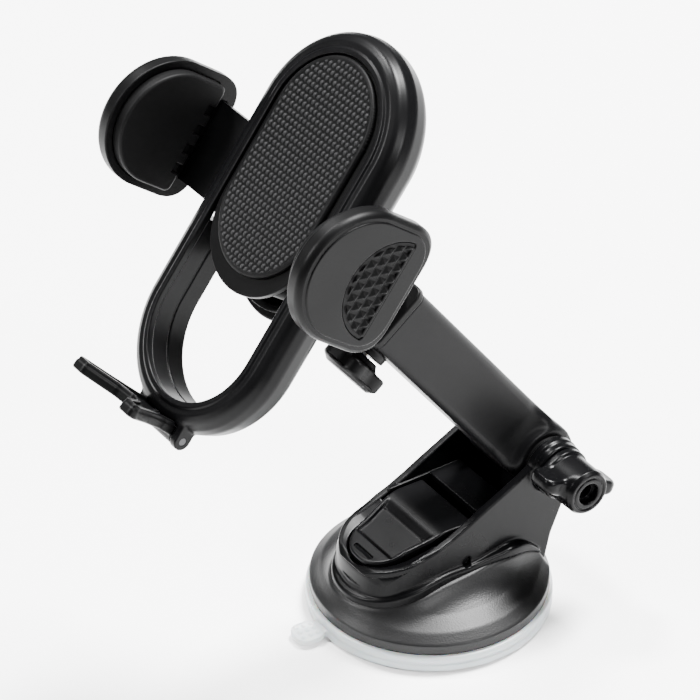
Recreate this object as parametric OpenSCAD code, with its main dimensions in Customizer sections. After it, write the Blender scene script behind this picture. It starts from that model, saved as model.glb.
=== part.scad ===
// Telescopic suction mount for a phone: locking suction base, tilting two-part arm,
// ball joint and an oval cradle with geared side jaws and a folding foot.
// Origin: centre of the suction cup on the surface it sits on. +Z up, front is -Y.

/* [Suction base] */
// Radius of the suction cup
cup_r = 36; // [32:0.5:42]
// Height of the cup edge
cup_h = 5; // [4:0.5:7]
// Radius of the dome above the cup
dome_r = 35; // [31:0.5:41]
// Height of the flat top inside the dome
dome_top = 17.5; // [16:0.5:20]
// Length of the pull tab beyond the cup
tab_len = 9; // [6:0.5:14]
// Width of the pull tab
tab_w = 9; // [6:0.5:14]

/* [Housing] */
// Outer width of the housing
house_w = 33; // [29:0.5:35]
// Wall thickness of the housing
house_wall = 2.5; // [2:0.1:3]
// Front end of the housing, measured forward from the centre
nose_y = 29.5; // [25:0.5:30]
// Pivot axis, back from the centre
pivot_y = 32; // [30:0.5:34]
// Pivot axis height
pivot_z = 42.5; // [41:0.5:46]
// Outer radius of the ears around the pivot
ear_r = 8.6; // [8.3:0.1:11]
// Lever pin, back from the centre
pin_y = 1.4; // [0:0.1:3]
// Lever pin height
pin_z = 21.6; // [21:0.1:23]
// Width of the locking lever
lever_w = 25; // [22:0.2:26]

/* [Arm] */
// Lean of the arm from the vertical
arm_lean = 37.3; // [20:0.1:50]
// Outer arm, pivot axis to open end
tube_len = 80; // [70:1:100]
// Outer arm width
tube_w = 17; // [15:0.5:19]
// Outer arm depth
tube_d = 20.2; // [18:0.1:22]
// Pivot axis to ball centre
reach = 104; // [98:1:130]
// Clamping knob, distance from the pivot axis
clamp_s = 74.2; // [60:0.1:90]

/* [Cradle] */
// Cradle origin, forward of the centre
cradle_y = 56.3; // [50:0.5:60]
// Cradle origin height
cradle_z = 147.2; // [140:0.1:160]
// Lean of the cradle from the vertical
cradle_lean = 37.3; // [20:0.1:50]
// Outer half width of the ring
ring_r = 28; // [26:0.5:32]
// Half width of the ring opening
ring_in = 20.5; // [19:0.5:23]
// Straight half length of the ring
ring_s = 30.5; // [26:0.5:36]
// Depth of the ring
ring_d = 14.5; // [12:0.5:18]

/* [Jaws and foot] */
// Jaw pad face from the cradle centre, open
jaw_x = 40; // [38:0.5:46]
// Jaw half height
jaw_r = 18.8; // [17:0.1:22]
// Height of the jaws along the cradle
jaw_u = 7.2; // [0:0.1:12]
// Forward reach of the jaws
jaw_n = 26.8; // [22:0.1:32]
// Upward lean of the foot
foot_rise = 8; // [0:1:15]

/* [Hidden] */
eps = 0.01;
seat_gap = 0.05;
fine = 96;
mid_fn = 64;
small_fn = 40;
house_h = house_w / 2;
wall_in = house_h - house_wall;
nose_r = house_h;
nose_c = nose_y - nose_r;
ear_boss_r = 8.2;
ear_boss_x = 19;
barrel_r = 9.8;
barrel_x = 12.2;
bolt_r = 2.4;
pin_r = 1.4;
fit = 0.06;
ball_r = 8;
gear_mod = 1;
gear_teeth = 12;
gear_pitch = gear_mod * gear_teeth / 2;
rack_pitch = PI * gear_mod;
arm_t = 2;
left_level = -7.8;
right_level = -10.1;
jaw_shell_in = jaw_x + 3.5;
jaw_shell_out = jaw_x + 9;
jaw_c = jaw_n - jaw_r;
jaw_back = -11;
foot_u = -59.4;
foot_n = -4.5;
ball_y = cradle_y + pivot_y - reach * sin(arm_lean);
ball_z = pivot_z + reach * cos(arm_lean) - cradle_z;
ball_u = ball_y * sin(cradle_lean) + ball_z * cos(cradle_lean);
ball_n = -ball_y * cos(cradle_lean) + ball_z * sin(cradle_lean);
liner_r = 9.2;

// Which sub-part to draw

// ---- frames ----
module in_arm() {
  translate([0, pivot_y, pivot_z]) rotate([arm_lean, 0, 0]) children();
}

module in_cradle() {
  translate([0, -cradle_y, cradle_z]) rotate([90 - cradle_lean, 0, 0]) children();
}

// cylinder along X from x0 to x1
module rod_x(r, x0, x1, f = mid_fn) {
  translate([x0, 0, 0]) rotate([0, 90, 0]) cylinder(r = r, h = x1 - x0, $fn = f);
}

// prism along X of a (y, z) outline
module slab_x(x0, x1) {
  translate([x0, 0, 0]) rotate([90, 0, 90]) linear_extrude(height = x1 - x0) children();
}

// rounded bar section
module round_rect(w, d, r) {
  square([w - 2 * r, d], center = true);
  square([w, d - 2 * r], center = true);
  for (sx = [-1, 1]) {
    for (sy = [-1, 1]) {
      translate([sx * (w / 2 - r), sy * (d / 2 - r)]) circle(r = r, $fn = small_fn);
    }
  }
}

// spring made of half rings that climb
module coil(r, wire, turns, pitch) {
  tilt = atan(pitch / (4 * r));
  for (i = [0 : 2 * turns - 1]) {
    translate([0, 0, i * pitch / 2])
      rotate([0, 0, 180 * i])
        translate([r, 0, 0])
          rotate([0, tilt, 0])
            translate([-r, 0, 0])
              rotate_extrude(angle = 180, $fn = small_fn)
                translate([r, 0]) circle(r = wire, $fn = 16);
  }
}

// oval made of two half turns and two straights; children give the (radius, z) section
module oval_sweep(half) {
  for (s = [0, 1]) {
    rotate([0, 0, 180 * s]) {
      translate([0, half, 0]) rotate_extrude(angle = 180, $fn = fine) children();
      translate([0, half, 0]) rotate([90, 0, 0]) linear_extrude(height = 2 * half) children();
    }
  }
}

// plate bounded by two equal circles, extruded from z0 to z1
module oval_plate(r, u0, u1, z0, z1) {
  translate([0, 0, z0]) {
    linear_extrude(height = z1 - z0) {
      translate([0, u0]) circle(r = r, $fn = fine);
      translate([0, u1]) circle(r = r, $fn = fine);
      translate([-r, u0]) square([2 * r, u1 - u0]);
    }
  }
}

// ---- suction base ----
tab_root = cup_r - 4;
tab_turn = -95;
tab_t = 1.8;

module suction_cup() {
  color([0.86, 0.88, 0.9, 0.6]) {
    rotate_extrude($fn = fine)
      polygon([[0, 0], [cup_r - 0.4, 0], [cup_r, 0.5], [cup_r, cup_h - 0.8],
               [cup_r - 0.8, cup_h], [cup_r - 5, cup_h], [cup_r - 9, 4.4], [0, 4.4]]);
    rotate([0, 0, tab_turn]) {
      translate([tab_root, -tab_w / 2, 0.4])
        cube([cup_r - tab_root + tab_len - tab_w / 2, tab_w, tab_t]);
      translate([cup_r + tab_len - tab_w / 2, 0, 0.4])
        cylinder(r = tab_w / 2, h = tab_t, $fn = small_fn);
    }
    for (i = [0 : 2]) {
      for (j = [-1 : 1]) {
        rotate([0, 0, tab_turn])
          translate([cup_r + 1.4 + 2.3 * i, 2.4 * j, 2])
            cylinder(r1 = 0.8, r2 = 0.4, h = 0.7, $fn = 16);
      }
    }
  }
}

stem_w = 9;
head_z = pin_z + 5;
cam_r = 3;
cam_off = 2;
cam_turn = 20;
cam_in = 4.8;
cam_out = 7.8;

module cup_stem() {
  color([0.2, 0.2, 0.22]) {
    difference() {
      union() {
        translate([0, 0, 4.4]) cylinder(r = 11, h = 2, $fn = mid_fn);
        translate([-stem_w / 2, -stem_w / 2, 6]) cube([stem_w, stem_w, head_z - 5]);
        translate([-cam_out, -4, head_z]) cube([2 * cam_out, 8, 2]);
      }
      translate([0, pin_y, pin_z]) rod_x(pin_r + 0.4, -stem_w, stem_w, small_fn);
      translate([-stem_w, pin_y - pin_r - 0.4, pin_z]) cube([2 * stem_w, 2 * pin_r + 0.8, 2.4]);
      translate([0, pin_y, pin_z + 2.4]) rod_x(pin_r + 0.4, -stem_w, stem_w, small_fn);
    }
  }
}

module stem_spring() {
  color([0.7, 0.72, 0.74])
    translate([0, 0, 7.4]) coil(8.2, 0.75, 4, 1.75);
}

module dome_profile(gap) {
  polygon([[0, 0], [dome_r + gap, 0], [dome_r + gap, 8.2 + gap], [dome_r - 0.9, 9.6 + gap],
           [dome_r - 3, 11 + gap], [dome_r - 6, 12.4 + gap], [dome_r - 10, 14.2 + gap],
           [dome_r - 14, 16.2 + gap], [dome_r - 17, dome_top + gap], [0, dome_top + gap]]);
}

screw_spots = [[0, -17.5], [9, 17], [-9, 17]];

screw_seat = 13.2;

module base_dome() {
  color([0.12, 0.12, 0.13]) {
    difference() {
      union() {
        difference() {
          rotate_extrude($fn = fine) dome_profile(0);
          translate([0, 0, -1]) cylinder(r = dome_r + 3, h = cup_h + 1.05, $fn = fine);
          rotate_extrude($fn = fine)
            polygon([[0, -1], [dome_r - 2.4, -1], [dome_r - 2.4, 7.6], [dome_r - 4.4, 9.4],
                     [dome_r - 10, 12], [dome_r - 14.5, 13.9], [dome_r - 18, 15.4], [0, 15.4]]);
        }
        // pads under the screw heads
        intersection() {
          rotate_extrude($fn = fine) dome_profile(0);
          for (p = screw_spots) {
            translate([p[0], p[1], screw_seat]) cylinder(r = 3.6, h = 9, $fn = small_fn);
          }
        }
      }
      translate([-5, -5, 0]) cube([10, 10, 30]);
      for (p = screw_spots) {
        translate([p[0], p[1], 0]) cylinder(r = 1.6, h = 30, $fn = 24);
      }
    }
  }
}

module house_side() {
  polygon([[-nose_y, 9], [-nose_y, 14.6], [1.3 - nose_y, 18], [-26, 21], [-22.5, 23.4], [-17, 25.6], [-10, 28.6],
           [-4, 31.2], [2, 34.2], [8, 37.2], [14, 40], [20, 43], [pivot_y - 6, 47], [pivot_y, pivot_z],
           [pivot_y + 7.3, pivot_z - 4.4], [pivot_y + 4, 29], [31.2, 19], [29.5, 9]]);
  translate([pivot_y, pivot_z]) circle(r = ear_r, $fn = mid_fn);
}

module boat(r) {
  translate([0, -nose_c]) circle(r = r, $fn = fine);
  translate([-r, -nose_c]) square([2 * r, 80]);
}

module house_cavity() {
  intersection() {
    slab_x(-wall_in, wall_in)
      polygon([[-nose_y, 0], [-nose_y, 60], [60, 60], [60, 31.5], [pivot_y + 1, 31.5], [28.8, 19], [27, 0]]);
    translate([0, 0, -1]) linear_extrude(height = 80) boat(wall_in);
  }
}

shelf_y = 9.3;
shelf_z = 30;
shelf_d = 11;
shelf_t = 2;

module base_housing() {
  color([0.1, 0.1, 0.11]) {
    difference() {
      union() {
        difference() {
          intersection() {
            slab_x(-house_h, house_h) house_side();
            linear_extrude(height = 80) boat(house_h);
          }
          house_cavity();
        }
        // seam flange round the foot of the housing
        intersection() {
          difference() {
            translate([0, 0, 9]) linear_extrude(height = 12) boat(house_h + 1.4);
            translate([0, 0, 8]) linear_extrude(height = 20) boat(wall_in);
            slab_x(-40, 40) polygon([[-40, 15.4], [-20, 18.6], [0, 20.2], [30, 20.2], [60, 40], [-40, 40]]);
          }
          translate([-40, -40, 0]) cube([80, 66, 40]);
        }
        for (s = [-1, 1]) {
          translate([0, pivot_y, pivot_z])
            rod_x(ear_boss_r, s > 0 ? house_h - eps : -ear_boss_x, s > 0 ? ear_boss_x : -house_h + eps);
        }
        // shelf behind the lever
        translate([-wall_in - eps, shelf_y, shelf_z]) cube([2 * wall_in + 2 * eps, shelf_d, shelf_t]);
        // floor of the nose
        intersection() {
          translate([-wall_in - 1, -nose_y, 10]) cube([2 * wall_in + 2, nose_y - 11, 8.6]);
          linear_extrude(height = 80) boat(house_h - 1);
        }
        for (p = [screw_spots[1], screw_spots[2]]) {
          translate([p[0], p[1], dome_top]) cylinder(r = 3, h = shelf_z + 1 - dome_top, $fn = small_fn);
        }
      }
      // seat on the dome
      rotate_extrude($fn = fine) dome_profile(seat_gap);
      translate([0, pin_y, pin_z]) rod_x(pin_r, -house_w, house_w, small_fn);
      translate([0, pivot_y, pivot_z]) rod_x(bolt_r + 0.1, -house_w, house_w, small_fn);
      translate([0, pivot_y, pivot_z]) rod_x(4.7, -ear_boss_x - 1, -ear_boss_x + 3, 6);
      for (p = screw_spots) {
        translate([p[0], p[1], 0]) cylinder(r = 1.2, h = p[1] < 0 ? 19 : 27, $fn = 24);
      }
    }
  }
}

module base_screws() {
  color([0.75, 0.76, 0.78]) {
    for (p = screw_spots) {
      translate([p[0], p[1], 0]) {
        difference() {
          translate([0, 0, screw_seat - 1.95]) cylinder(r = 2.6, h = 1.9, $fn = small_fn);
          translate([-1.8, -0.35, screw_seat - 2.5]) cube([3.6, 0.7, 1.3]);
          translate([-0.35, -1.8, screw_seat - 2.5]) cube([0.7, 3.6, 1.3]);
        }
        translate([0, 0, screw_seat - 0.1]) cylinder(r = 1.15, h = (p[1] < 0 ? 18.8 : 26.4) - screw_seat, $fn = 24);
      }
    }
  }
}

lever_top = 31.8;
lever_rear = 6;
lever_bend = -4.5;
lever_tip = -26;
tongue_r = 10;
lever_t = 2;
lever_drop = 6.8;

module lever_side() {
  polygon([[lever_rear, lever_top - 0.4], [lever_bend, lever_top], [lever_tip, lever_top - lever_drop],
           [lever_tip, lever_top - lever_drop - lever_t], [lever_bend - 0.4, lever_top - lever_t],
           [lever_rear, lever_top - lever_t - 0.4]]);
}

module lock_lever() {
  color([0.09, 0.09, 0.1]) {
    difference() {
      union() {
        // top plate with a rounded tongue
        intersection() {
          slab_x(-lever_w / 2, lever_w / 2) lever_side();
          linear_extrude(height = 60) {
            translate([0, lever_tip + tongue_r]) circle(r = tongue_r, $fn = fine);
            polygon([[-tongue_r, lever_tip + tongue_r], [tongue_r, lever_tip + tongue_r], [lever_w / 2, -7],
                     [lever_w / 2, 20], [-lever_w / 2, 20], [-lever_w / 2, -7]]);
          }
        }
        // side cheeks down to the pin
        for (s = [-1, 1]) {
          slab_x(s > 0 ? 8.6 : -11.6, s > 0 ? 11.6 : -8.6) {
            polygon([[pin_y - 3.4, pin_z], [pin_y + 3.4, pin_z], [6, lever_top - 1.4], [-9, lever_top - 2.6]]);
            translate([pin_y, pin_z]) circle(r = 3.4, $fn = small_fn);
          }
        }
        // cams that lift the stem head, tied to the cheeks
        for (s = [-1, 1]) {
          translate([0, pin_y + cam_off * sin(cam_turn), pin_z + cam_off * cos(cam_turn)])
            rod_x(cam_r, s > 0 ? cam_in : -8.7, s > 0 ? 8.7 : -cam_in, small_fn);
        }
      }
      translate([0, pin_y, pin_z]) rod_x(pin_r + fit, -20, 20, small_fn);
      // shallow finger recess on the slope
      slab_x(-8.4, 8.4)
        polygon([[-8, 40], [-8, 29.9], [-17.5, 26.8], [-18.6, 40]]);
    }
  }
}

module lever_pin() {
  color([0.72, 0.74, 0.76])
    translate([0, pin_y, pin_z]) rod_x(pin_r, -house_h + 1.9, house_h - 1.9, small_fn);
}

// ---- pivot ----
module pivot_bolt() {
  color([0.68, 0.7, 0.72]) {
    translate([0, pivot_y, pivot_z]) {
      rod_x(bolt_r, -ear_boss_x + 2, 28, small_fn);
      rod_x(4.6, -ear_boss_x - 0.2, -ear_boss_x + 2.9, 6);
    }
  }
}

module pivot_washers() {
  color([0.3, 0.3, 0.32]) {
    for (x0 = [-wall_in, barrel_x + 0.05]) {
      difference() {
        translate([0, pivot_y, pivot_z]) rod_x(8, x0, x0 + wall_in - barrel_x - 0.05);
        translate([0, pivot_y, pivot_z]) rod_x(bolt_r + 0.1, -20, 20, small_fn);
      }
    }
  }
}

knob_x0 = 19.4;
knob_x1 = 32.5;
wing_turn = -23;
hub_r = 6.8;

module pivot_knob() {
  color([0.1, 0.1, 0.11]) {
    translate([0, pivot_y, pivot_z]) {
      difference() {
        union() {
          rod_x(7.8, knob_x0, knob_x0 + 2);
          rod_x(hub_r, knob_x0, knob_x1 - 1);
          translate([knob_x1 - 1 - eps, 0, 0]) rotate([0, 90, 0])
            cylinder(r1 = hub_r, r2 = hub_r - 1, h = 1 + eps, $fn = mid_fn);
          rotate([wing_turn, 0, 0]) {
            for (s = [-1, 1]) {
              hull() {
                translate([knob_x0 + 1, s * 4, -3.4]) cube([9.4, 0.5, 6.8]);
                translate([knob_x0 + 4.2, s * 11.8, 0]) rod_x(2, -2.4, 3.8, 32);
              }
            }
          }
        }
        rod_x(bolt_r + fit, knob_x0 - 1, knob_x1 + 1, small_fn);
        rod_x(4.2, knob_x0 - 1, knob_x0 + 4.6, 6);
        rod_x(3.4, knob_x1 - 2.4, knob_x1 + 1, small_fn);
      }
    }
  }
}

module knob_nut() {
  color([0.78, 0.66, 0.36]) {
    translate([0, pivot_y, pivot_z]) {
      difference() {
        rod_x(4.1, knob_x0 + 0.4, knob_x0 + 4.5, 6);
        rod_x(bolt_r + fit, knob_x0 - 1, knob_x1, small_fn);
      }
    }
  }
}

// ---- arm ----
bore_w = 11.6;
bore_d = 14.6;
bore_round = 1.7;
inner_w = 11;
inner_d = 14;
inner_round = 1.4;
bore_floor = 14;

module outer_arm() {
  color([0.11, 0.11, 0.12]) {
    in_arm() {
      difference() {
        union() {
          rod_x(barrel_r, -barrel_x, barrel_x);
          linear_extrude(height = tube_len) round_rect(tube_w, tube_d, 3);
          // flare where the tube joins the barrel
          for (s = [-1, 1]) {
            intersection() {
              slab_x(s > 0 ? 0 : -barrel_x, s > 0 ? barrel_x : 0) square([2 * barrel_r, 36], center = true);
              translate([0, barrel_r, 0]) rotate([90, 0, 0]) linear_extrude(height = 2 * barrel_r)
                difference() {
                  polygon([[0, 0], [s * barrel_x, 0], [s * barrel_x, 7], [s * tube_w / 2, 17], [0, 17]]);
                  translate([s * (tube_w / 2 + 8.2), 15.6]) circle(r = 8.2, $fn = mid_fn);
                }
            }
          }
          // boss of the clamping screw
          translate([0, -tube_d / 2 + 1, clamp_s]) rotate([90, 0, 0]) cylinder(r = 5.6, h = 3.2, $fn = mid_fn);
        }
        rod_x(bolt_r + fit, -20, 20, small_fn);
        translate([0, 0, bore_floor]) linear_extrude(height = tube_len) round_rect(bore_w, bore_d, bore_round);
        translate([0, 0, clamp_s]) rotate([90, 0, 0]) cylinder(r = 2 + fit, h = 30, $fn = small_fn);
        translate([0, -tube_d / 2 + 0.5, clamp_s]) rotate([90, 0, 0]) cylinder(r = 3.8, h = 9, $fn = 6);
      }
    }
  }
}

module clamp_nut() {
  color([0.78, 0.66, 0.36]) {
    in_arm() {
      translate([0, -tube_d / 2 + 0.45, clamp_s]) rotate([90, 0, 0])
        difference() {
          cylinder(r = 3.7, h = 2.5, $fn = 6);
          translate([0, 0, -1]) cylinder(r = 2 + fit, h = 6, $fn = small_fn);
        }
    }
  }
}

module arm_collar() {
  color([0.08, 0.08, 0.09]) {
    in_arm() {
      difference() {
        translate([0, 0, tube_len + 0.02]) linear_extrude(height = 2.6) round_rect(tube_w + 0.9, tube_d + 0.9, 3.4);
        translate([0, 0, tube_len - 1]) linear_extrude(height = 9) round_rect(bore_w, bore_d, bore_round);
      }
    }
  }
}

inner_s0 = 34;
inner_s1 = 91;
neck_r = 3.2;

module inner_arm() {
  color([0.12, 0.12, 0.13]) {
    in_arm() {
      difference() {
        translate([0, 0, inner_s0]) linear_extrude(height = inner_s1 - inner_s0) round_rect(inner_w, inner_d, inner_round);
        // groove for the clamping screw
        translate([-2.4, -inner_d / 2 - 1, clamp_s - 34]) cube([4.8, 2.4, 46]);
        translate([0, 0, inner_s1 - 10]) cylinder(r = 2.5, h = 11, $fn = small_fn);
      }
    }
  }
}

module ball_stud() {
  color([0.1, 0.1, 0.11]) {
    in_arm() {
      translate([0, 0, reach]) sphere(r = ball_r, $fn = fine);
      translate([0, 0, inner_s1 + 1.4]) cylinder(r = neck_r, h = reach - inner_s1 - 5, $fn = small_fn);
      translate([0, 0, inner_s1 + 0.02]) cylinder(r1 = 5.4, r2 = neck_r, h = 2.4, $fn = small_fn);
      translate([0, 0, inner_s1 - 9.8]) cylinder(r = 2.45, h = 12, $fn = small_fn);
    }
  }
}

clamp_h0 = 13;
clamp_h1 = 20.5;

module clamp_screw() {
  color([0.7, 0.72, 0.74]) {
    in_arm() {
      translate([0, -6.1, clamp_s]) rotate([90, 0, 0]) cylinder(r = 2, h = clamp_h1 - 8.4, $fn = small_fn);
    }
  }
}

module clamp_knob() {
  color([0.1, 0.1, 0.11]) {
    in_arm() {
      difference() {
        translate([0, -clamp_h0, clamp_s]) rotate([90, 0, 0]) {
          cylinder(r1 = 4.6, r2 = 6, h = 2.2, $fn = mid_fn);
          translate([0, 0, 2]) cylinder(r = 6.8, h = 4.4, $fn = mid_fn);
          for (i = [0 : 3]) {
            rotate([0, 0, 90 * i + 45]) translate([6.2, 0, 2]) cylinder(r = 3.2, h = 4.4, $fn = small_fn);
          }
          translate([0, 0, 6.3]) cylinder(r1 = 8.6, r2 = 7.6, h = clamp_h1 - clamp_h0 - 6.3, $fn = mid_fn);
        }
        translate([0, -6, clamp_s]) rotate([90, 0, 0]) cylinder(r = 2, h = clamp_h1 - 8.2, $fn = small_fn);
      }
    }
  }
}

// ---- ball socket ----
module at_ball() {
  in_cradle() translate([0, ball_u, ball_n]) children();
}

module ball_liner() {
  color([0.85, 0.85, 0.82]) {
    at_ball() {
      difference() {
        intersection() {
          sphere(r = liner_r, $fn = fine);
          translate([0, 0, -2.6]) cylinder(r = 9, h = 6.1, $fn = fine);
        }
        sphere(r = ball_r + 0.08, $fn = fine);
      }
    }
  }
}

module ball_nut() {
  color([0.1, 0.1, 0.11]) {
    at_ball() {
      difference() {
        union() {
          translate([0, 0, -6.6]) cylinder(r1 = 12.8, r2 = 14.2, h = 2.4, $fn = fine);
          translate([0, 0, -4.2 - eps]) cylinder(r = 14.2, h = 12.2, $fn = fine);
          for (i = [0 : 11]) {
            rotate([0, 0, 30 * i]) translate([13.7, 0, -3.4]) cylinder(r = 1.3, h = 10.6, $fn = 16);
          }
        }
        translate([0, 0, -1.62]) cylinder(r = 12.1, h = 20, $fn = fine);
        intersection() {
          sphere(r = liner_r + 0.35, $fn = fine);
          translate([0, 0, -4.9]) cylinder(r = 10, h = 4, $fn = fine);
        }
        translate([0, 0, -5.2]) cylinder(r = 7.4, h = 1, $fn = fine);
        translate([0, 0, -7]) cylinder(r1 = 10, r2 = 7.4, h = 1.81, $fn = fine);
      }
    }
  }
}

// ---- cradle ----
cover_front = -ring_d - 0.02;
cover_back = -17.2;
cover_low = 0.5;

module cradle_back() {
  color([0.11, 0.11, 0.12]) {
    in_cradle() {
      difference() {
        union() {
          oval_plate(22.4, cover_low, ring_s, cover_back, cover_front);
          oval_plate(20.2, cover_low, ring_s, cover_front - eps, cover_front + 2.2);
          translate([0, ball_u, ball_n - 1.5]) cylinder(r = 11.7, h = 18, $fn = fine);
          translate([0, ball_u, cover_back - 5.5]) cylinder(r1 = 11.8, r2 = 12.6, h = 6, $fn = fine);
        }
        oval_plate(18, cover_low, ring_s, cover_front, cover_front + 4);
        // ball pocket
        translate([0, ball_u, ball_n]) sphere(r = liner_r + 0.08, $fn = fine);
        // slits between the socket fingers
        for (i = [0 : 3]) {
          translate([0, ball_u, ball_n - 3]) rotate([0, 0, 45 + 90 * i]) translate([4, -0.7, 0]) cube([9, 1.4, 9]);
        }
        translate([0, button_u, -30]) cylinder(r = 4.3, h = 30, $fn = small_fn);
        for (p = cover_spots) {
          translate([p[0], p[1], -30]) cylinder(r = 1.3, h = 30, $fn = 24);
          translate([p[0], p[1], -30]) cylinder(r = 2.5, h = 31.4 + cover_back, $fn = 24);
          translate([p[0], p[1], cover_front + 0.03]) cylinder(r = post_r + 0.3, h = 6, $fn = small_fn);
        }
        translate([0, jaw_u, cover_back + 0.9]) cylinder(r = 1.82, h = 9, $fn = small_fn);
      }
      // boss under the gear
      difference() {
        translate([0, jaw_u, cover_front - 0.5]) cylinder(r = 3.6, h = gear_z0 - cover_front + 0.35, $fn = small_fn);
        translate([0, jaw_u, cover_front - 1]) cylinder(r = 1.82, h = 9, $fn = small_fn);
      }
    }
  }
}

button_u = 25.5;
post_r = 2.5;
cover_spots = [[-14, 38], [14, 38], [-12.5, -10.6], [12.5, -10.6]];

module ring_section() {
  polygon([[ring_in, 0], [ring_in + 3, 0], [ring_in + 4.6, -0.5], [ring_in + 6, -1.7], [ring_r - 0.5, -3.7],
           [ring_r, -6.2], [ring_r - 0.3, -9], [ring_r - 1.2, -11.6], [ring_r - 2.6, -13.6],
           [ring_r - 4, -ring_d], [ring_in + 0.6, -ring_d], [ring_in + 0.6, -2.6], [ring_in, -1.8]]);
}

slot_u0 = -7.7;
slot_u1 = 22;
slot_r = 3.7;
slot_n = -6.7;

module cradle_ring() {
  color([0.11, 0.11, 0.12]) {
    in_cradle() {
      difference() {
        union() {
          oval_sweep(ring_s) ring_section();
          // hinge lugs of the foot
          for (s = [-1, 1]) {
            slab_x(s > 0 ? 7.9 : -10.5, s > 0 ? 10.5 : -7.9) {
              translate([foot_u, foot_n]) circle(r = 2.6, $fn = small_fn);
              translate([foot_u, foot_n - 2.6]) square([5.4, 5.2]);
            }
          }
          // inner ledge that carries the pad plate
          for (s = [-1, 1]) {
            translate([s > 0 ? ring_in - 2.6 : -ring_in - 1, 24.5, plate_back - 2.22]) cube([3.6, 10, 2.2]);
          }
        }
        for (s = [-1, 1]) {
          slab_x(s > 0 ? ring_in - 3 : -ring_r - 2, s > 0 ? ring_r + 2 : 3 - ring_in) {
            translate([slot_u1 - slot_r, slot_n]) circle(r = slot_r, $fn = small_fn);
            translate([slot_u0, slot_n - slot_r]) square([slot_u1 - slot_r - slot_u0, 2 * slot_r]);
          }
        }
        translate([0, foot_u, foot_n]) rod_x(1.05, -20, 20, 24);
        // notch that clears the foot's hub and web
        slab_x(-7.85, 7.85) {
          translate([foot_u, foot_n]) circle(r = 2.75, $fn = small_fn);
          translate([foot_u - 6, foot_n]) square([8.75, 9]);
        }
      }
    }
  }
}

plate_front = -0.8;
plate_back = -2.8;

module pad_plate() {
  color([0.1, 0.1, 0.11]) {
    in_cradle() {
      difference() {
        oval_plate(ring_in - 0.1, 2, ring_s, plate_back, plate_front);
        for (p = cover_spots) {
          translate([p[0], p[1], plate_back - 1]) cylinder(r = 1, h = 1.8, $fn = 24);
        }
      }
      // posts that take the screws of the back cover
      for (p = cover_spots) {
        difference() {
          translate([p[0], p[1], cover_front + 0.05]) cylinder(r = post_r, h = plate_back - cover_front, $fn = small_fn);
          translate([p[0], p[1], cover_front - 1]) cylinder(r = 1, h = 9, $fn = 24);
        }
      }
    }
  }
}

pad_r = 17.6;
pad_u0 = 5.9;
pad_u1 = 31.3;

module phone_pad() {
  color([0.07, 0.07, 0.08]) {
    in_cradle() {
      oval_plate(pad_r, pad_u0, pad_u1, plate_front + 0.02, plate_front + 1.4);
      oval_plate(pad_r - 0.7, pad_u0, pad_u1, plate_front + 1.3, plate_front + 2);
    }
  }
}

module cradle_screws() {
  color([0.75, 0.76, 0.78]) {
    in_cradle() {
      for (p = cover_spots) {
        difference() {
          translate([p[0], p[1], cover_back + 0.1]) cylinder(r = 2.2, h = 1.28, $fn = small_fn);
          translate([p[0] - 1.5, p[1] - 0.3, cover_back - 1]) cube([3, 0.6, 1.8]);
          translate([p[0] - 0.3, p[1] - 1.5, cover_back - 1]) cube([0.6, 3, 1.8]);
        }
        translate([p[0], p[1], cover_back + 1.3]) cylinder(r = 1, h = 8, $fn = 24);
      }
    }
  }
}

// ---- rack and pinion ----
pressure = 20;
backlash = 0.25;
addendum = 0.9 * gear_mod;
dedendum = 1.3 * gear_mod;
base_r = gear_pitch * cos(pressure);
tip_r = gear_pitch + addendum;
root_r = gear_pitch - dedendum;

function inv(a) = tan(a) * 180 / PI - a;
function flank_angle(r) = r <= base_r ? 0 : inv(acos(base_r / r));
half_tooth = 90 / gear_teeth - backlash / gear_pitch * 45 / PI * 2 / 2 + flank_angle(gear_pitch);

module gear_tooth() {
  steps = 5;
  rs = [for (i = [0 : steps]) base_r + (tip_r - base_r) * i / steps];
  right = [for (r = rs) [r * cos(half_tooth - flank_angle(r)), -r * sin(half_tooth - flank_angle(r))]];
  left = [for (i = [steps : -1 : 0])
    [rs[i] * cos(half_tooth - flank_angle(rs[i])), rs[i] * sin(half_tooth - flank_angle(rs[i]))]];
  low = root_r - 0.4;
  polygon(concat([[low * cos(half_tooth), -low * sin(half_tooth)]], right, left,
                 [[low * cos(half_tooth), low * sin(half_tooth)]]));
}

gear_z0 = right_level;
gear_z1 = left_level + arm_t;

module sync_gear() {
  color([0.82, 0.82, 0.8]) {
    in_cradle() {
      translate([0, jaw_u, 0]) {
        difference() {
          translate([0, 0, gear_z0]) {
            linear_extrude(height = gear_z1 - gear_z0) {
              circle(r = root_r, $fn = mid_fn);
              for (i = [0 : gear_teeth - 1]) {
                rotate([0, 0, 360 / gear_teeth * i]) gear_tooth();
              }
            }
          }
          translate([0, 0, -20]) cylinder(r = 1.8 + fit, h = 20, $fn = small_fn);
        }
      }
    }
  }
}

module gear_post() {
  color([0.7, 0.72, 0.74]) {
    in_cradle() {
      translate([0, jaw_u, cover_back + 1]) cylinder(r = 1.8, h = plate_back - cover_back - 1.05, $fn = small_fn);
    }
  }
}

rack_bar = 3.4;
rack_tail = 7.3;
arm_half = 12.2;
arm_root = 19.5;

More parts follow.
